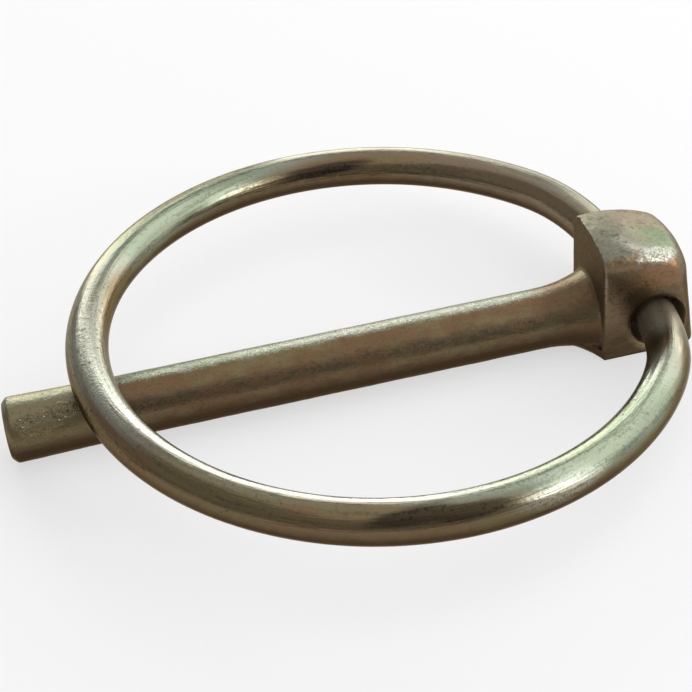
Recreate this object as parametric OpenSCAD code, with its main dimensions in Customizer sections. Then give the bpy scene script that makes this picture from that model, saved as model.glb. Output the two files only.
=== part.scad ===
// Lynch pin: a forged steel pin whose head carries a round ring of spring wire.
// The pin lies along X with its head at +X, and the ring is closed over the nose.
// The origin is on the pin's axis, under the middle of the closed ring.

/* [Shank] */
// Diameter of the straight shank
shank_d = 4.5; // [4:0.1:5]
// Length from the head's shoulder to the cropped tip
pin_len = 42.6; // [40:0.1:50]
// How much wider than the shank the cropped nose has spread
nose_spread = 0.3; // [0.1:0.05:0.4]
// Chamfer round the tip
tip_chamfer = 0.4; // [0.2:0.1:0.8]

/* [Neck] */
// Length over which the shank flares up to the shoulder
neck_len = 3.8; // [3:0.1:5]
// Diameter of the flare where it meets the shoulder
neck_d = 6; // [5.4:0.1:6.6]
// Length of the wider cove along the underside, which runs out to the head's lower corners
cove_len = 2.8; // [2:0.1:4]
// Height of that cove above the underside
cove_h = 1; // [0.6:0.1:1.2]
// Flat left between the end of that cove and the head's lower corners
cove_edge = 0.2; // [0.1:0.05:0.4]

/* [Head] */
// Width of the head across the bore
head_w = 6.9; // [6.5:0.1:8]
// Height of the crown above the pin's axis
crown_h = 6.8; // [6.4:0.05:7.5]
// Radius of the crown, seen along the bore
crown_r = 10; // [9:0.5:14]
// Distance from the shoulder to the highest line of the crown
crown_set = 1.2; // [0.5:0.1:2]
// Radius of the corner between the crown and the outer end
corner_r = 2.2; // [1.8:0.1:2.5]
// Radius of the rounded edges beside the crown and the outer end
edge_r = 1.3; // [0.8:0.1:1.5]
// How far the crown and the outer end stand out in the middle of the head's width
rim_bulge = 0.5; // [0.3:0.05:0.6]
// Lean of the outer end, which runs outwards towards the underside
end_draft = 6; // [2:1:10]

/* [Bore] */
// How much wider than the wire the cross bore is
bore_slack = 1; // [0.8:0.1:1.2]
// Distance from the shoulder to the bore's axis
bore_set = 4.2; // [3.8:0.1:4.6]
// Metal left under the bore
under_wall = 0.6; // [0.4:0.05:0.9]
// Metal left between the bore and the outer end
end_wall = 0.9; // [0.7:0.05:1.4]

/* [Ring] */
// Mean diameter of the ring
ring_d = 41; // [39:0.5:44]
// Diameter of the spring wire
wire_d = 3; // [2.6:0.1:3.4]
// How far the wire's tails lie inside the ring's circle
tail_inset = 0.7; // [0.5:0.05:1.2]
// How far the ring's plane stands above its tails, beside the head
tail_drop = 1.5; // [0.5:0.05:2]
// Angle from the head at which the wire leaves its circle to turn into the bore
bend_angle = 41; // [32:1:52]
// Space between the ends of the two tails inside the bore
tail_gap = 1; // [0.5:0.1:2]
// Straight wire at the end of each tail, before it starts to curve inside the bore
tail_len = 0.7; // [0.4:0.1:2]

/* [Clearances] */
// Between the closed ring and the nose
rest_gap = 0.25; // [0.05:0.05:0.5]
// Between the tails and the side of the bore that faces the shoulder
hinge_gap = 0.5; // [0.3:0.05:0.6]

/* [Hidden] */
$fn = 96;
// Overlap of pieces that are fused, and reach of cutting blocks past a surface
lap = 0.5;
// A collar at each seam in the wire: how far it stands proud, and its length
seam_lap = 0.03;
seam_len = 0.3;

shank_r = shank_d / 2;
nose_r = (shank_d + nose_spread) / 2;
neck_r = neck_d / 2;
wire_r = wire_d / 2;
ring_r = ring_d / 2;
half_w = head_w / 2;
bore_r = (wire_d + bore_slack) / 2;
// The underside of head and neck is level with the nose, so the pin lies flat
base_z = -nose_r;

// Stations along the pin, from the hinge outwards
hinge_x = ring_r - tail_inset;
bore_x = hinge_x + bore_r - wire_r - hinge_gap;
bore_z = base_z + under_wall + bore_r;
shoulder_x = bore_x - bore_set;
tip_x = shoulder_x - pin_len;
neck_x = shoulder_x - neck_len;
// The spread nose starts under the inner side of the closed ring
nose_x = wire_r - ring_r;

// Across the head's width the rim is one shallow arc, and its edge roundings run into it
rim_r = flare_r(half_w, rim_bulge);
edge_set = rim_r - sqrt(pow(rim_r - edge_r, 2) - pow(half_w - edge_r, 2));

// Side view of the head in X and Z: the outer end's normal, and the centres of the crown's
// arc and of the corner arc that leads from it to the outer end
end_n = [cos(end_draft), sin(end_draft)];
end_reach = bore_r + end_wall;
bore_c = [bore_x, bore_z];
crown_c = [shoulder_x + crown_set, crown_h - crown_r];
corner_turn = acos((end_reach - corner_r + (bore_c - crown_c) * end_n) / (crown_r - corner_r));
corner_ray = corner_turn + end_draft;
corner_c = crown_c + (crown_r - corner_r) * [cos(corner_ray), sin(corner_ray)];
// Where the outer end meets the underside
end_x = bore_x + (end_reach + (bore_z - base_z) * end_n[1]) / end_n[0];

// The ring's plane leans from its seat above the nose down to the head
nose_seat_z = nose_r + wire_r + rest_gap;
head_seat_z = bore_z + tail_drop;
ring_lean = asin((nose_seat_z - head_seat_z) / ring_d);
ring_c = [0, 0, (nose_seat_z + head_seat_z) / 2];

// A tail starts along Y in the bore, curves out of it and meets the ring's circle at the bend angle
tail_end = tail_gap / 2 + tail_len;
tail_p = [hinge_x, tail_end, bore_z];
tail_t = [0, 1, 0];
ring_x = [cos(ring_lean), 0, -sin(ring_lean)];
circle_p = ring_c + ring_r * (cos(bend_angle) * ring_x + sin(bend_angle) * tail_t);
circle_t = cos(bend_angle) * tail_t - sin(bend_angle) * ring_x;

// Two arcs with one shared tangent lead the wire from the tail to the circle
reach = tangent_reach(circle_p - tail_p, tail_t, circle_t);
tail_q = tail_p + reach * tail_t;
circle_q = circle_p - reach * circle_t;
mid_p = (tail_q + circle_q) / 2;
mid_t = unit(circle_q - tail_q);

function unit(v) = v / norm(v);

// Length of the equal tangents of two arcs that join directions a and b across the gap v
function tangent_reach(v, a, b) =
    let (along = v * (a + b), open = 1 - a * b)
    (sqrt(along * along + 2 * open * (v * v)) - along) / (2 * open);

// Radius of an arc that leaves a line tangentially and rises by rise over run
function flare_r(run, rise) = (run * run + rise * rise) / (2 * rise);

// Profile of a flare from the shank up to a radius at the shoulder, as radius and station
module flare_profile(run, top_r) {
    arc_r = flare_r(run, top_r - shank_r);
    difference() {
        translate([0, shoulder_x - run])
            square([top_r, run]);
        translate([shank_r + arc_r, shoulder_x - run])
            circle(arc_r);
    }
}

// Strip from a centre line out to a bulged end, with its two outer corners rounded
module edged_strip(length) {
    edge_c = [-edge_set, half_w - edge_r];
    intersection() {
        translate([0, -half_w])
            square([length + lap, head_w]);
        translate([length, 0])
            difference() {
                translate([-rim_r, 0])
                    circle(rim_r);
                for (side = [0, 1])
                    mirror([0, side])
                        difference() {
                            polygon([
                                edge_c,
                                [edge_c[0], half_w + lap],
                                [lap, half_w + lap],
                                edge_c + 2 * edge_r * unit(edge_c + [rim_r, 0])
                            ]);
                            translate(edge_c)
                                circle(edge_r);
                        }
            }
    }
}

// Crown, corner and outer end, which run into each other with one rounded edge
module head_rim() {
    translate([crown_c[0], 0, crown_c[1]])
        rotate([90, 0, 0])
            rotate([0, 0, corner_ray]) {
                rotate_extrude(angle = 180 - corner_ray)
                    edged_strip(crown_r);
                translate([crown_r - corner_r, 0, 0])
                    rotate([180, 0, 0]) {
                        rotate_extrude(angle = corner_turn)
                            edged_strip(corner_r);
                        rotate([0, 0, corner_turn])
                            rotate([-90, 0, 0])
                                linear_extrude((corner_c[1] + corner_r - base_z) / end_n[0])
                                    edged_strip(corner_r);
                    }
            }
}

// Full-width core of the head, which ends inside the rounded rim
module head_core() {
    inner = corner_c + (corner_r - edge_set) / 2 * end_n;
    foot_z = base_z - lap;
    rotate([90, 0, 0])
        linear_extrude(head_w, center = true)
            polygon([
                [shoulder_x - lap, foot_z],
                [inner[0] + (inner[1] - foot_z) * tan(end_draft), foot_z],
                inner,
                [shoulder_x - lap, inner[1]]
            ]);
}

// Forged head, flat at the shoulder and on its underside
module head() {
    intersection() {
        translate([shoulder_x, -head_w, base_z])
            cube([end_x - shoulder_x + lap, 2 * head_w, crown_h - base_z + lap]);
        union() {
            head_rim();
            head_core();
        }
    }
}

// Cropped nose and straight shank, turned about X
module shank() {
    rotate([0, 90, 0])
        rotate_extrude()
            polygon([
                [0, tip_x],
                [nose_r - tip_chamfer, tip_x],
                [nose_r, tip_x + tip_chamfer],
                [shank_r, nose_x],
                [shank_r, shoulder_x + lap],
                [0, shoulder_x + lap]
            ]);
}

// Flared neck, cut level with the head's underside, and the wider cove below it
module neck() {
    cove_r = norm([half_w, base_z]) - cove_edge;
    intersection() {
        translate([shoulder_x - cove_len - lap, -half_w, base_z])
            cube([cove_len + 2 * lap, head_w, cove_h]);
        rotate([0, 90, 0])
            rotate_extrude()
                flare_profile(cove_len, cove_r);
    }
    intersection() {
        translate([neck_x - lap, -head_w, base_z])
            cube([neck_len + 2 * lap, 2 * head_w, 2 * neck_r]);
        rotate([0, 90, 0])
            rotate_extrude()
                flare_profile(neck_len, neck_r);
    }
}

module pin() {
    color("#6e6148")
        difference() {
            union() {
                shank();
                neck();
                head();
            }
            translate([bore_x, 0, bore_z])
                rotate([90, 0, 0])
                    cylinder(r = bore_r, h = head_w + 2 * lap, center = true);
        }
}

// Wire along the arc that leaves p in direction t and ends at q
module arc_wire(p, t, q) {
    chord = q - p;
    inward = unit(chord - (chord * t) * t);
    arc_r = (chord * chord) / (2 * (chord * inward));
    turn = 2 * atan2(chord * inward, chord * t);
    centre = p + arc_r * inward;
    axis = cross(-inward, t);
    multmatrix([for (i = [0:2]) [-inward[i], t[i], axis[i], centre[i]]])
        rotate_extrude(angle = turn)
            translate([arc_r, 0])
                circle(wire_r);
}

// Collar a hair wider than the wire, which closes a seam at p between two pieces that run along t
module seam(p, t) {
    side = unit(cross(t, [0, 0, 1]));
    up = cross(t, side);
    multmatrix([for (i = [0:2]) [side[i], up[i], t[i], p[i]]])
        cylinder(r = wire_r + seam_lap, h = seam_len, center = true);
}

// One end of the wire: a straight tail in the bore and the two arcs out to the circle
module wire_end() {
    translate([hinge_x, tail_gap / 2, bore_z])
        rotate([-90, 0, 0])
            cylinder(r = wire_r, h = tail_len);
    arc_wire(tail_p, tail_t, mid_p);
    arc_wire(mid_p, mid_t, circle_p);
    seam(tail_p, tail_t);
    seam(mid_p, mid_t);
    seam(circle_p, circle_t);
}

module spring_ring() {
    color("#857a58") {
        translate(ring_c)
            rotate([0, ring_lean, 0])
                rotate([0, 0, bend_angle])
                    rotate_extrude(angle = 360 - 2 * bend_angle)
                        translate([ring_r, 0])
                            circle(wire_r);
        wire_end();
        mirror([0, 1, 0])
            wire_end();
    }
}

pin();
spring_ring();
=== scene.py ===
from math import acos, atan2, cos, hypot, pi, radians, sin, sqrt

import bmesh
import bpy
from mathutils import Matrix, Vector, noise


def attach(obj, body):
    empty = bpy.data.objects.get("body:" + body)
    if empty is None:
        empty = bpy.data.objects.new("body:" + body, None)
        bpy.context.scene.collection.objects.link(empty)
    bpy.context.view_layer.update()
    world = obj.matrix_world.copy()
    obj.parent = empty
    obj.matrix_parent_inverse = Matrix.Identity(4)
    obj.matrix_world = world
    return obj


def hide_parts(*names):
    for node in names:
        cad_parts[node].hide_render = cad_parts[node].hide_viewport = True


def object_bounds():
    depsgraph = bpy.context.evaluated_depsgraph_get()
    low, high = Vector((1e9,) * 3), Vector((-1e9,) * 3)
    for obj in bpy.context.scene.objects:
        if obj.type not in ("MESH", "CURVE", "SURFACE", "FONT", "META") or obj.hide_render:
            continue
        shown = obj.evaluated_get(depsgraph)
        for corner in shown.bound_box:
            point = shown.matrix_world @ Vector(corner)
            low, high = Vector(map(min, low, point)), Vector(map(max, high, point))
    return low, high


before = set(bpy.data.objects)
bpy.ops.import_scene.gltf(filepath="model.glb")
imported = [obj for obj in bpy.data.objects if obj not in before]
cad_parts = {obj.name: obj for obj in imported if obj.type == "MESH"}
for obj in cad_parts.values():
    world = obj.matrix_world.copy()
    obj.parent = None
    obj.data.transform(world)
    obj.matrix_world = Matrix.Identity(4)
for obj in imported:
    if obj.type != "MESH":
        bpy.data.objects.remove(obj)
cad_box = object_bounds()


# The pin is one drop forging in steel: a round shank with a chamfered nose, a neck that flares into
# a broad head, and a hole across the head for the wire. It was zinc plated and dipped for a yellow
# film, and years of use have pitted it, stained it brown and rubbed its edges bright.
mm = 0.001
pin_grain = 0.112 * mm
pin_weld = 0.0005 * mm
pin_steps = 3

solid = bmesh.new()
solid.from_mesh(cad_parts["pin"].data)
bmesh.ops.remove_doubles(solid, verts=solid.verts, dist=pin_weld)
blank_mesh = bpy.data.meshes.new("pin_blank")
solid.to_mesh(blank_mesh)
solid.free()
blank = bpy.data.objects.new("pin_blank", blank_mesh)
bpy.context.collection.objects.link(blank)
even = blank.modifiers.new("even_skin", "REMESH")
even.mode = "VOXEL"
even.voxel_size = pin_grain
skinned = blank.evaluated_get(bpy.context.evaluated_depsgraph_get())
pin_mesh = bpy.data.meshes.new_from_object(skinned)
bpy.data.objects.remove(blank)

skin = bmesh.new()
skin.from_mesh(pin_mesh)


def smooth(verts, steps):
    """Evens the pin's skin out at these points, a little with each step."""
    ways = {"use_axis_x": True, "use_axis_y": True, "use_axis_z": True}
    for step in range(steps):
        bmesh.ops.smooth_vert(skin, verts=verts, factor=0.5, **ways)


smooth(skin.verts, pin_steps)

# The foot of the shoulder, on both sides of the neck, is forged without a crevice. In millimetres.
foot_x, foot_z, foot_reach = 15.3, -1.3, 0.7
foot_inner, foot_outer = 2.0, 3.25
foot_steps = 20
foot_skin = [
    v for v in skin.verts
    if hypot(v.co.x / mm - foot_x, v.co.z / mm - foot_z) < foot_reach
    and foot_inner < abs(v.co.y / mm) < foot_outer
]
smooth(foot_skin, foot_steps)
skin.normal_update()

# The forging is slightly wavy. Each dent has its middle, its reach and its depth. The crown has a worn
# flat, and the wire has worn the lip of its hole. All in millimetres.
wave_deep = 0.05
long_wave, short_wave, short_start = 0.45, 1.3, Vector((7.0, 3.0, 1.0))
dents = [
    ((15.6, 2.2, 6.35), 0.4, 0.16),
    ((16.4, 2.7, 6.2), 0.35, 0.06),
    ((16.0, 0.8, 6.75), 0.4, 0.05),
    ((12.6, 0.0, 2.4), 0.22, 0.06),
    ((14.0, 0.25, 2.7), 0.25, 0.07),
    ((14.5, -2.0, 1.0), 0.4, 0.05),
    ((-24.0, -0.9, 2.0), 0.35, 0.08),
    ((-23.1, 0.3, 2.2), 0.3, 0.06),
    ((-25.2, -1.5, 1.6), 0.4, 0.07),
    ((-26.6, 0.4, 2.0), 0.4, 0.07),
]
dent_rough = 4.0
flat_spot = Vector((19.9, 0.0, 6.14))
flat_face = Vector((0.31, 0.0, 0.951)).normalized()
hole_x, hole_z, hole_r = 19.8, 0.2, 2.0
lip_y, lip_reach, lip_deep = 3.55, 0.6, 0.14
sunk = []
for v in skin.verts:
    spot = v.co / mm
    swell = 0.6 * noise.noise(spot * long_wave) + 0.4 * noise.noise(spot * short_wave + short_start)
    depth = wave_deep * mm * (0.5 + 0.5 * swell)
    for middle, reach, deep in dents:
        away = (spot - Vector(middle)).length / reach
        if away < 1.0:
            depth += deep * mm * (1.0 - away * away) ** 2 * (0.8 + 0.4 * noise.noise(spot * dent_rough))
    depth += max(0.0, (spot - flat_spot).dot(flat_face)) * mm
    lip = hypot(hypot(spot.x - hole_x, spot.z - hole_z) - hole_r, abs(spot.y) - lip_y) / lip_reach
    if lip < 1.0:
        depth += lip_deep * mm * (1.0 - lip * lip) ** 2
    sunk.append(depth)
for v, depth in zip(skin.verts, sunk):
    v.co -= v.normal * depth
skin.to_mesh(pin_mesh)
skin.free()
pin_mesh.shade_smooth()
forged_pin = bpy.data.objects.new("forged_pin", pin_mesh)
bpy.context.collection.objects.link(forged_pin)


class Film:
    """One value in a finish: an output of its shader nodes, with the sums that the finishes need."""

    def __init__(self, tree, socket):
        self.tree = tree
        self.socket = socket

    def node(self, kind, settings, inputs, out=0):
        made = self.tree.nodes.new(kind)
        for name, value in settings.items():
            setattr(made, name, value)
        for name, value in inputs.items():
            if isinstance(value, Film):
                self.tree.links.new(value.socket, made.inputs[name])
            else:
                made.inputs[name].default_value = value
        return Film(self.tree, made.outputs[out])

    def sum(self, operation, a, b):
        return self.node("ShaderNodeMath", {"operation": operation}, {0: a, 1: b})

    def __add__(self, other):
        return self.sum("ADD", self, other)

    __radd__ = __add__

    def __sub__(self, other):
        return self.sum("SUBTRACT", self, other)

    def __rsub__(self, other):
        return self.sum("SUBTRACT", other, self)

    def __mul__(self, other):
        return self.sum("MULTIPLY", self, other)

    def sway(self, size):
        return (self - 0.5) * size

    def vector(self, operation, other):
        return self.node("ShaderNodeVectorMath", {"operation": operation}, {0: self, 1: other})

    def length(self):
        return self.node("ShaderNodeVectorMath", {"operation": "LENGTH"}, {0: self}, 1)

    def axes(self):
        apart = self.node("ShaderNodeSeparateXYZ", {}, {0: self})
        return [Film(self.tree, end) for end in apart.socket.node.outputs]

    def ramp(self, low, high):
        ends = {"Value": self, "From Min": low, "From Max": high}
        return self.node("ShaderNodeMapRange", {"interpolation_type": "SMOOTHSTEP"}, ends)

    def over(self, under, top):
        return self.node("ShaderNodeMix", {"data_type": "RGBA"}, {0: self, 6: under, 7: top}, 2)

    def cloud(self, stretch, detail=3.0, rough=0.55, warp=0.0):
        drawn = self.vector("MULTIPLY", stretch)
        kind = {"Vector": drawn, "Scale": 1.0, "Detail": detail, "Roughness": rough, "Distortion": warp}
        return self.node("ShaderNodeTexNoise", {}, kind)

    def pocks(self, stretch):
        drawn = self.vector("MULTIPLY", stretch)
        return self.node("ShaderNodeTexVoronoi", {}, {"Vector": drawn, "Scale": 1.0})

    def patch(self, middle, reach, ragged, edge=0.15):
        away = self.vector("SUBTRACT", middle).vector("DIVIDE", reach).length()
        return (away + ragged).ramp(1.0 + edge, 1.0 - edge)


def seen(red, green, blue):
    """A colour as the eye gives it, 0 to 255, in the shader's own scale."""
    return tuple(((c / 255 + 0.055) / 1.055) ** 2.4 for c in (red, green, blue)) + (1.0,)


edge_tint = (0.6, 0.55, 0.47, 1)


def plating(name):
    """A new finish: its shader, the place on the piece in millimetres, and the way the skin faces."""
    made = bpy.data.materials.new(name)
    made.use_nodes = True
    tree = made.node_tree
    shader = tree.nodes["Principled BSDF"]
    shader.inputs["Specular Tint"].default_value = edge_tint
    where = tree.nodes.new("ShaderNodeTexCoord")
    place = Film(tree, where.outputs["Object"])
    place = place.node("ShaderNodeVectorMath", {"operation": "SCALE"}, {0: place, "Scale": 1 / mm})
    return made, shader, place, Film(tree, where.outputs["Normal"])


def feed(shader, socket, value):
    """Leads a value of the finish into the shader."""
    value.tree.links.new(value.socket, shader.inputs[socket])


bump_deep = 0.06 * mm
bump_strength = 0.8


def emboss(shader, height):
    """Lets the light see the skin's fine relief."""
    relief = {"Strength": bump_strength, "Distance": bump_deep, "Height": height}
    feed(shader, "Normal", height.node("ShaderNodeBump", {}, relief))


brown = seen(116, 93, 69)
umber = seen(70, 54, 40)
olive = seen(122, 109, 80)
highlight_pale = seen(146, 149, 135)
highlight_mint = seen(136, 145, 124)
stone = seen(122, 121, 106)
rosy = seen(136, 128, 113)
face_brown = seen(132, 113, 89)
bore_brown = seen(112, 96, 77)
verdigris = seen(112, 127, 104)
silver = seen(201, 206, 194)
copper = seen(138, 105, 78)
soot_and_shade = seen(50, 43, 35)

# Where along the pin the head begins, in millimetres.
head_x = 15.6

pin_finish, shader, place, facing = plating("pitted_yellow_zinc")
x, y, z = place.axes()
nx, ny, nz = facing.axes()
drift = place.cloud((0.22, 0.5, 0.5), 4.0)
mottle = place.cloud((0.9, 1.6, 1.6), 4.0, 0.6)
grain = place.cloud((3.0, 4.0, 4.0), 3.0, 0.7)
speck = place.cloud((6.0, 7.0, 7.0), 2.0, 0.6)
pores = place.pocks((2.2, 3.0, 3.0))
scuff = place.cloud((0.8, 7.0, 7.0), 3.0, 0.65, 0.3)
fine = grain.sway(0.6) + speck.sway(0.4)
ragged = mottle.sway(0.9) + fine

# Brown film all round, olive in drifts and on the nose, painted shade underneath, grimy on the neck, and a
# pale painted highlight on the top and back, where the lamps' highlights fall, with a greenish cast
# towards the nose.
on_nose = (x + ragged * 1.5).ramp(-19.5, -21.0)
on_neck = x.ramp(10.5, 13.0) * x.ramp(head_x - 0.02, head_x - 0.1)
film = (drift + mottle.sway(0.5) + fine * 0.4 + on_nose * 0.2).ramp(0.42, 0.66).over(brown, olive)
# Painted shade: umber on the faces that look down.
film = (nz + mottle.sway(0.3) + fine * 0.2).ramp(0.45, -0.25).over(film, umber)
film = (on_neck * 0.3).over(film, umber)
# Painted highlight: paler on the top of the nose.
film = (on_nose * (nz + ragged * 0.3).ramp(0.45, 0.8) * 0.15).over(film, highlight_pale)
# Painted highlight: a pale, greenish film on the top and back, where the lamps' highlights fall.
highlight_and_wear_top = 1.0 - on_neck * 0.8 - on_nose * 0.5
highlight_and_wear_top = highlight_and_wear_top * (ny + on_nose * 0.08 + ragged * 0.26).ramp(-0.22, 0.05)
highlight_and_wear_top = highlight_and_wear_top * (nz + ragged * 0.2).ramp(0.15, 0.5) * x.ramp(head_x, head_x - 0.1)
highlight_tint = (drift + fine * 0.5 + x.ramp(0.0, -12.0) * 0.15).ramp(0.5, 0.68).over(highlight_pale, highlight_mint)
film = highlight_and_wear_top.over(film, highlight_tint)

# A dark blotched band along the front of the shank, on the faces that look up and forward, duller and less
# metallic.
on_shank = x.ramp(13.5, 11.0) * (1.0 - on_nose)
level = nz + drift.sway(0.5)
band = (level + scuff.sway(0.4)).ramp(0.3, 0.5) * (level + fine * 0.2).ramp(0.82, 0.62)
blotched = (mottle * 0.5 + grain * 0.3 + speck * 0.2 + drift.sway(0.4)).ramp(0.44, 0.56)
dark_band = band * on_shank * ny.ramp(0.0, -0.2) * blotched
film = (dark_band * 0.72).over(film, soot_and_shade)

# The crown is dull grey and smudged, with a worn flat, part of it smooth and greenish with a pale
# border.
on_crown = x.ramp(head_x - 0.1, head_x + 0.15) * (nz + ragged * 0.2).ramp(0.6, 0.85)
on_flat = (x + ragged * 0.8).ramp(17.5, 17.9)
film = on_crown.over(film, on_flat.over(stone, rosy))
green = place.patch((19.8, -1.1, 6.2), (2.2, 1.3, 1.8), ragged * 0.8) * on_crown
border = place.patch((19.6, -1.25, 6.2), (2.5, 1.5, 2.0), ragged * 0.8) * on_crown
border = (border - green) * y.ramp(-0.6, -1.2)
film = (green * (x.ramp(18.6, 20.4) * 0.5 + 0.4)).over(film, verdigris)
film = (border * 0.3).over(film, silver)
smudged = on_crown * (mottle + grain.sway(0.5)).ramp(0.53, 0.68) * (1.0 - green)
film = (smudged * 0.35).over(film, soot_and_shade)

# The front face is brown. Its rounded upper edge carries a painted highlight, silver with sparkle, with a
# copper stain below, and painted shade darkens the skin round the hole.
on_front = ny.ramp(-0.75, -0.95) * x.ramp(head_x - 0.1, head_x + 0.1)
film = (on_front * z.ramp(-1.0, 2.0) * 0.7).over(film, face_brown)
# Painted shade round the hole.
hole_shade = place.patch((19.3, -3.6, 1.6), (2.4, 0.9, 2.2), ragged)
film = (hole_shade * 0.3).over(film, soot_and_shade)
stained = place.patch((20.0, -3.6, 4.35), (2.3, 1.0, 0.95), ragged)
film = (stained * 0.65).over(film, copper)
# Painted highlight: silver sparkle on the rounded upper edge.
painted_edge_highlight = place.patch((19.9, -2.85, 5.77), (2.0, 0.6, 0.6), ragged * 1.4, 0.25)
film = (painted_edge_highlight * (speck.ramp(0.42, 0.58) * 0.85 + 0.15)).over(film, silver)
in_hole = place.vector("SUBTRACT", (hole_x, 0.0, hole_z)).vector("MULTIPLY", (1.0, 0.0, 1.0)).length()
in_hole = in_hole.ramp(hole_r + 0.2, hole_r + 0.04) * x.ramp(16.5, 17.0)
film = in_hole.over(film, bore_brown)

# The shoulder is dull brown, with painted shade at its foot, and its upper edge is rubbed bright. Silver
# glints are painted in spots on the top of the shank, in its painted highlight. The edge round the outer
# end is dull grey.
shoulder = nx.ramp(-0.8, -0.95) * x.ramp(head_x - 0.6, head_x - 0.2)
film = (shoulder * 0.5).over(film, face_brown)
end_edge = nx.ramp(0.3, 0.55) * nx.ramp(0.99, 0.9) * x.ramp(20.5, 21.5) * z.ramp(3.0, 4.5)
film = (end_edge * 0.6).over(film, stone)
foot_wide = (0.8, 0.9, 0.8)
# Painted shade at the foot of the shoulder.
foot_shade = place.patch((15.3, -2.7, -1.7), foot_wide, fine, 0.4)
foot_shade = foot_shade + place.patch((15.3, 2.7, -1.7), foot_wide, fine, 0.4)
film = (foot_shade * 0.7).over(film, umber)
rim = x.ramp(head_x + 0.3, head_x + 0.05) * nx.ramp(-0.8, -0.6) * x.ramp(head_x - 0.15, head_x - 0.02)
rim = rim * z.ramp(2.0, 4.5) * (grain + mottle.sway(0.6)).ramp(0.4, 0.6)
# Painted glints in the top's painted highlight, with the rubbed shoulder edge.
worn_rim_and_glints = rim * 0.35 + highlight_and_wear_top * (speck.ramp(0.55, 0.68) * 0.6)
film = worn_rim_and_glints.over(film, silver)

# Two corroded patches on the nose are rough, with pores that glint. Pits open in the top where it carries
# its painted highlight, and in the crown, and dark specks lie all over.
corroded = place.patch((-24.7, -1.7, 1.5), (1.5, 0.8, 0.7), ragged)
corroded = corroded + place.patch((-22.7, -1.2, 1.8), (0.9, 0.6, 0.6), ragged)
pit = pores.ramp(0.19, 0.08) * (mottle + drift.sway(0.4)).ramp(0.48, 0.6)
pit = pit * (highlight_and_wear_top + on_crown * 0.5).ramp(0.0, 0.8)
specks = grain.ramp(0.52, 0.7) * (0.3 + corroded * 0.5) + speck.ramp(0.55, 0.7) * (1.0 - highlight_and_wear_top) * 0.25
film = (specks + pit * 0.6).over(film, soot_and_shade)
film = (corroded * pores.ramp(0.2, 0.12) * grain.ramp(0.46, 0.54)).over(film, silver)

feed(shader, "Base Color", film)
feed(shader, "Metallic", 1.0 - dark_band * 0.3 - pit * 0.4 - in_hole * 0.8)
rough = 0.33 + mottle.sway(0.3) + fine * 0.5 + dark_band * 0.15 + painted_edge_highlight * 0.1 - corroded * 0.12
rough = rough + on_crown * 0.1 - green * 0.08 + shoulder * 0.25
feed(shader, "Roughness", rough)
height = mottle * (0.4 + on_crown * 0.7) + grain * 0.4 + speck * (0.25 + painted_edge_highlight * 0.7 + highlight_and_wear_top * 0.45)
height = height + grain * corroded * 2.4 + scuff * 0.12 - pit * 0.9
emboss(shader, height)
forged_pin.data.materials.append(pin_finish)

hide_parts("pin")
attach(forged_pin, "pin")


# The ring is one length of drawn spring wire, coiled to a round that is open at the head. Both ends
# are bent across and down into the hole, where they meet nearly end to end and make the hinge. The
# same yellow film covers it, streaked lengthwise by the drawing die.
wire_r = 1.5 * mm
ring_r = 20.5 * mm
ring_mid = Vector((0, 0, 2.925)) * mm
ring_lean = radians(3.42581)
bend_turn = radians(41)
tail_tip = Vector((19.8, 0.5, 0.2)) * mm
tail_end = Vector((19.8, 1.2, 0.2)) * mm
end_round = 0.2 * mm
end_steps = 3
wire_weld = 0.001 * mm
wire_sides = 40
tail_steps, bend_steps, round_steps = 12, 10, 72

along = Vector((0, 1, 0))
across = Vector((cos(ring_lean), 0, -sin(ring_lean)))
round_start = ring_mid + ring_r * (cos(bend_turn) * across + sin(bend_turn) * along)
round_way = cos(bend_turn) * along - sin(bend_turn) * across
gap = round_start - tail_end
both = along + round_way
spare = 2 * (1 - along.dot(round_way))
reach = (sqrt(gap.dot(both) ** 2 + spare * gap.length_squared) - gap.dot(both)) / spare
mid_tail = tail_end + reach * along
mid_round = round_start - reach * round_way
bend_mid = (mid_tail + mid_round) / 2
bend_way = (mid_round - mid_tail).normalized()

wire = bmesh.new()
turn_round = wire.verts.layers.float_vector.new("wire_turn")
stand = Matrix.Translation(tail_tip) @ Matrix.Rotation(radians(-90), 4, "X")
first = bmesh.ops.create_circle(wire, cap_ends=False, segments=wire_sides, radius=wire_r, matrix=stand)
for v in first["verts"]:
    spoke = (v.co - tail_tip) / wire_r
    v[turn_round] = (spoke.x, spoke.z, 0)


def pull(loop, path):
    """Draws the wire's open end on in a straight line."""
    drawn = bmesh.ops.extrude_edge_only(wire, edges=loop)["geom"]
    bmesh.ops.translate(wire, vec=path, verts=[g for g in drawn if isinstance(g, bmesh.types.BMVert)])
    return [g for g in drawn if isinstance(g, bmesh.types.BMEdge) and len(g.link_faces) == 1]


def curl(loop, start, way, end, steps):
    """Draws the wire's open end on round the arc that leaves start along way and comes to end."""
    chord = end - start
    inward = chord - chord.dot(way) * way
    radius = chord.length_squared / (2 * inward.length)
    centre = start + inward.normalized() * radius
    axis = way.cross(inward).normalized()
    angle = 2 * acos(chord.normalized().dot(way))
    made = bmesh.ops.spin(wire, geom=loop, cent=centre, axis=axis, angle=angle, steps=steps)
    return [g for g in made["geom_last"] if isinstance(g, bmesh.types.BMEdge)]


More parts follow.
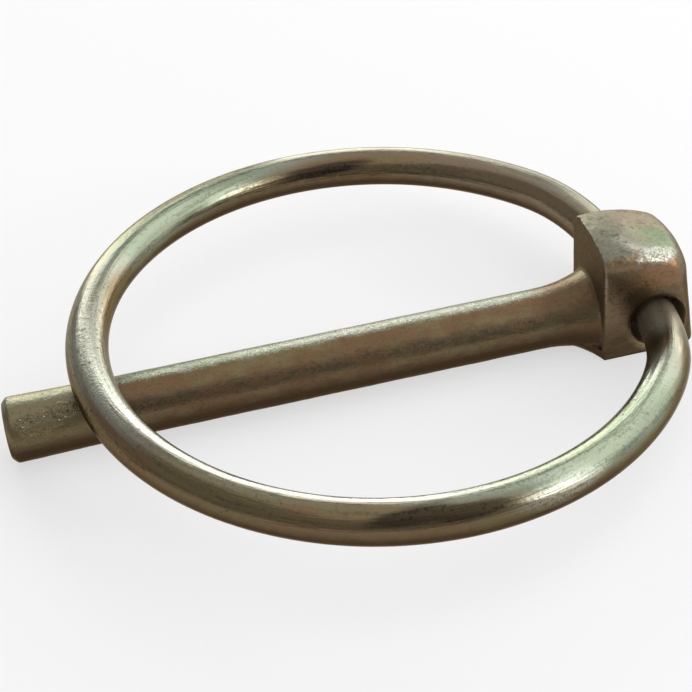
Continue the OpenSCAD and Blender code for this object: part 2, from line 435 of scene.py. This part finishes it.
other = Matrix.Scale(-1, 3, along)
half_tail = (tail_end - tail_tip) / 2
nose_point = ring_mid - ring_r * across
loop = pull(wire.edges[:], half_tail)
loop = pull(loop, half_tail)
loop = curl(loop, tail_end, along, bend_mid, tail_steps)
loop = curl(loop, bend_mid, bend_way, round_start, bend_steps)
loop = curl(loop, round_start, round_way, nose_point, round_steps)
loop = curl(loop, nose_point, -along, other @ round_start, round_steps)
loop = curl(loop, other @ round_start, -(other @ round_way), other @ bend_mid, bend_steps)
loop = curl(loop, other @ bend_mid, -(other @ bend_way), other @ tail_end, tail_steps)
loop = pull(loop, half_tail)
pull(loop, half_tail)
bmesh.ops.remove_doubles(wire, verts=wire.verts, dist=wire_weld)
open_ends = [e for e in wire.edges if len(e.link_faces) == 1]
caps = bmesh.ops.holes_fill(wire, edges=open_ends, sides=0)["faces"]
rims = [e for cap in caps for e in cap.edges]
bmesh.ops.bevel(
    wire, geom=rims, offset=end_round, segments=end_steps, profile=0.5, affect="EDGES", material=-1
)
bmesh.ops.recalc_face_normals(wire, faces=wire.faces)
for v in wire.verts:
    spoke = v[turn_round]
    v[turn_round] = (spoke.x, spoke.y, atan2(v.co.y, -v.co.x) * ring_r / mm)
ring_mesh = bpy.data.meshes.new("spring_wire_ring")
wire.to_mesh(ring_mesh)
wire.free()
ring_mesh.shade_smooth()
wire_ring = bpy.data.objects.new("spring_wire_ring", ring_mesh)
bpy.context.collection.objects.link(wire_ring)

tan = seen(124, 101, 78)
handled_painted_light = seen(134, 121, 101)

ring_finish, shader, place, facing = plating("drawn_yellow_zinc")
x, y = place.axes()[:2]
nx, ny, nz = facing.axes()
outward = (x * nx + y * ny) * (mm / ring_r)
round_wire = place.node("ShaderNodeAttribute", {"attribute_name": "wire_turn"}, {}, "Vector")
drift = place.cloud((0.12, 0.12, 0.3), 3.0)
streak = round_wire.cloud((2.6, 2.6, 0.11), 4.0, 0.6)
hair = round_wire.cloud((9.0, 9.0, 0.3), 3.0, 0.65)
mottle = place.cloud((1.0, 1.0, 1.0), 4.0, 0.6)
grain = place.cloud((3.6, 3.6, 3.6), 3.0, 0.7)
speck = place.cloud((7.0, 7.0, 7.0), 2.0, 0.6)
pores = place.pocks((1.6, 1.6, 1.6))
fine = grain.sway(0.6) + speck.sway(0.4)
ragged = drift.sway(1.0) + streak.sway(0.6) + fine * 0.4
torn = ragged * 0.4 + hair.sway(0.8) + fine * 0.6

# Tan and olive film, browner on the outside and inside of the round, painted shade underneath, and a pale,
# greenish painted highlight on the top and back and over the worn patches on the front right and the back
# left, where the lamps' highlights fall. The back right is worn rosy, less.
front_wear_and_highlight = place.patch((10.5, -17.7, 3.3), (10.0, 6.5, 5.0), ragged, 0.6)
back_wear_and_highlight = place.patch((-11.0, 15.5, 3.5), (9.5, 7.0, 5.0), ragged, 0.6)
side_worn = place.patch((14.5, 14.5, 2.3), (8.0, 8.0, 5.0), ragged, 0.6)
wear_and_highlight = front_wear_and_highlight + back_wear_and_highlight
film = (drift + streak.sway(0.6) + fine * 0.4 + wear_and_highlight * 0.15).ramp(0.36, 0.6).over(tan, olive)
film = (side_worn * 0.35).over(film, rosy)
film = (outward.ramp(0.75, 0.95) * 0.3).over(film, umber)
film = (outward.ramp(-0.55, -0.8) * nz.ramp(0.2, 0.5) * 0.6).over(film, face_brown)
# Painted shade: umber on the faces that look down.
film = (nz + mottle.sway(0.3) + fine * 0.2).ramp(0.35, -0.4).over(film, umber)
# Painted highlight: pale film on the top and back and in the worn patches, where the lamps' highlights
# fall.
highlight_and_wear_top = ny * 0.8 + nz * 0.7 + nx * 0.1 + streak.sway(0.9) + fine * 0.5
highlight_and_wear_top = highlight_and_wear_top + front_wear_and_highlight + back_wear_and_highlight * 0.9
highlight_and_wear_top = highlight_and_wear_top - y.ramp(-8.0, -16.0) * 0.2 - back_wear_and_highlight * outward.ramp(-0.4, 0.3)
highlight_and_wear_top = highlight_and_wear_top.ramp(0.15, 0.9)
highlight_tint = (wear_and_highlight + drift.sway(0.8) + streak.sway(0.8) + fine * 0.5).ramp(0.1, 0.9).over(highlight_pale, highlight_mint)
film = highlight_and_wear_top.over(film, highlight_tint)

# The left arc is frosted, silver in its painted highlight, and the front arc has painted highlights: a
# bright streak on the right and a bright inner edge.
frosted = place.patch((-20.5, -3.0, 4.5), (5.0, 11.0, 2.0), ragged, 0.5)
# Painted highlight: silver on the frosted arc, only where the top's painted highlight lies.
film = (frosted * highlight_and_wear_top * 0.35).over(film, silver)
# Painted highlights in silver on the front arc.
painted_highlights = place.patch((7.2, -20.6, 3.3), (4.2, 1.4, 0.8), torn, 0.5) * (streak + fine).ramp(0.35, 0.55) * 0.35
painted_highlights = painted_highlights + outward.ramp(-0.05, -0.3) * nz.ramp(0.6, 0.9) * y.ramp(0.0, -8.0) * (1.0 - front_wear_and_highlight) * 0.45
film = painted_highlights.over(film, silver)

# Dull handled skin beside the head, lighter as painted light where the head shades the wire, and over it
# all the dirt
# and painted shade: streaks, specks, pits, dark streaks on the front and the back of the round, and
# painted shade on the outer edge at the back left.
dull_wide = (2.8, 2.8, 2.8)
# Painted light: a lighter, less metallic skin where the head shades the wire.
dull_and_painted_light = place.patch((19.9, -4.0, 0.8), dull_wide, ragged, 0.6)
dull_and_painted_light = dull_and_painted_light + place.patch((19.9, 4.0, 0.8), dull_wide, ragged, 0.6)
film = (dull_and_painted_light * 0.9).over(film, handled_painted_light)
dark_streaks = place.patch((-3.2, -21.15, 4.3), (3.0, 0.65, 0.4), torn, 0.5)
dark_streaks = dark_streaks + place.patch((1.1, -21.5, 3.95), (3.0, 0.55, 0.45), torn, 0.5)
dark_streaks = (dark_streaks + place.patch((0.1, 19.15, 3.7), (3.8, 0.55, 0.45), torn, 0.5)).ramp(0.0, 1.0)
pit = pores.ramp(0.13, 0.06) * (mottle + drift.sway(0.6) + frosted * 0.08).ramp(0.53, 0.64)
torn_x = x + torn * 3.0
# Painted shade on the outer edge at the back left.
far_edge_shade = outward.ramp(-0.15, 0.15) * outward.ramp(0.95, 0.8) * y.ramp(3.0, 10.0)
far_edge_shade = far_edge_shade * torn_x.ramp(-18.0, -12.0) * torn_x.ramp(-1.0, -6.0)
dirt_and_painted_shade = (streak + fine * 0.6).ramp(0.54, 0.72) * 0.35 + grain.ramp(0.54, 0.72) * (0.25 + frosted * 0.3)
dirt_and_painted_shade = dirt_and_painted_shade + dark_streaks * 0.8 + pit * 0.5 + far_edge_shade * 0.7
film = dirt_and_painted_shade.over(film, soot_and_shade)

feed(shader, "Base Color", film)
feed(shader, "Metallic", 1.0 - dull_and_painted_light * 0.6)
feed(shader, "Roughness", 0.2 + streak.sway(0.3) + fine * 0.25 + dark_streaks * 0.1 + dull_and_painted_light * 0.15)
height = streak * 1.1 + hair * 0.35 + mottle * 0.25 + grain * (0.14 + frosted * 0.3)
height = height + speck * 0.04 - pit * 0.5
emboss(shader, height)
wire_ring.data.materials.append(ring_finish)

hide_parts("spring_ring")
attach(wire_ring, "ring")


# The table that the pin lies on is a plain white sheet with a matt face, wider than the camera sees.
# It is laid at the height of the part's lowest point.
sheet_half = 0.6
sheet_grey = (0.82, 0.82, 0.82, 1)
sheet_glow = 0.6
sheet = bmesh.new()
lying = Matrix.Translation((0, 0, cad_box[0][2]))
bmesh.ops.create_grid(sheet, x_segments=1, y_segments=1, size=sheet_half, matrix=lying)
sheet_mesh = bpy.data.meshes.new("white_sheet")
sheet.to_mesh(sheet_mesh)
sheet.free()
white_sheet = bpy.data.objects.new("white_sheet", sheet_mesh)
bpy.context.collection.objects.link(white_sheet)
paper = bpy.data.materials.new("white_paper")
paper.use_nodes = True
fibre = paper.node_tree
face = Film(fibre, fibre.nodes["Principled BSDF"].outputs[0])
matt = face.node("ShaderNodeBsdfDiffuse", {}, {"Color": sheet_grey})
glow = face.node("ShaderNodeEmission", {}, {"Color": (1, 1, 1, 1), "Strength": 1.0})
ray = face.node("ShaderNodeLightPath", {}, {}).socket.node.outputs
shown = sum(Film(fibre, ray[kind]) for kind in ("Is Camera Ray", "Is Glossy Ray", "Is Transmission Ray"))
lit = face.node("ShaderNodeMixShader", {}, {0: shown * sheet_glow, 1: matt, 2: glow})
fibre.links.new(lit.socket, fibre.nodes["Material Output"].inputs["Surface"])
fibre.nodes.remove(fibre.nodes["Principled BSDF"])
white_sheet.data.materials.append(paper)


# The light is a room's: a window and a long low strip behind the ring, pale walls behind it and to
# its right, a small wall with a lamp in front on the right, and a dim ceiling. The camera looks down
# on the ring from the front, a little to the left of its middle.
room_glow = 0.42
room = bpy.data.worlds.new("room")
room.use_nodes = True
room.node_tree.nodes["Background"].inputs["Color"].default_value = (1, 1, 1, 1)
room.node_tree.nodes["Background"].inputs["Strength"].default_value = room_glow
bpy.context.scene.world = room


def soft_box(name, turn, rise, far, wide, high, bright):
    """A lamp at a turn from +Y towards +X and a rise above the table, aimed at the ring's middle."""
    lamp = bpy.data.lights.new(name, "AREA")
    lamp.shape = "RECTANGLE"
    lamp.size = wide
    lamp.size_y = high
    lamp.energy = bright * pi * wide * high
    held = bpy.data.objects.new(name, lamp)
    turn, rise = radians(turn), radians(rise)
    way = Vector((sin(turn) * cos(rise), cos(turn) * cos(rise), sin(rise)))
    held.location = way * far
    held.rotation_euler = way.to_track_quat("Z", "Y").to_euler()
    bpy.context.collection.objects.link(held)


# Turn and rise in degrees, distance, width and height in metres, and brightness.
soft_box("back_wall", 25, 20, 0.45, 0.90, 0.30, 0.8)
soft_box("low_strip", 18, 6, 0.45, 0.64, 0.11, 2.2)
soft_box("left_window", 0, 18, 0.44, 0.30, 0.26, 2.3)
soft_box("right_wall", 74, 30, 0.44, 0.56, 0.50, 1.2)
soft_box("side_lamp", 134, 23, 0.44, 0.08, 0.08, 12.0)
soft_box("side_wall", 128, 20, 0.45, 0.18, 0.34, 2.4)
soft_box("ceiling", 90, 72, 0.5, 0.8, 0.8, 0.5)

lens = bpy.data.cameras.new("camera")
lens.lens = 88.107
lens.sensor_width = 36
lens.clip_start = 0.005
camera = bpy.data.objects.new("camera", lens)
camera_spot = Vector((-0.0174698, -0.0930145, 0.0765410))
right = Vector((0.97094414, -0.22424437, -0.083558))
up = Vector((0.20446839, 0.59596028, 0.77654621))
back = Vector((-0.12433887, -0.77106796, 0.62449503))
turned = Matrix((right, up, back)).transposed().to_4x4()
camera.matrix_world = Matrix.Translation(camera_spot) @ turned
bpy.context.collection.objects.link(camera)
bpy.context.scene.camera = camera
bpy.context.scene.view_settings.view_transform = "Standard"
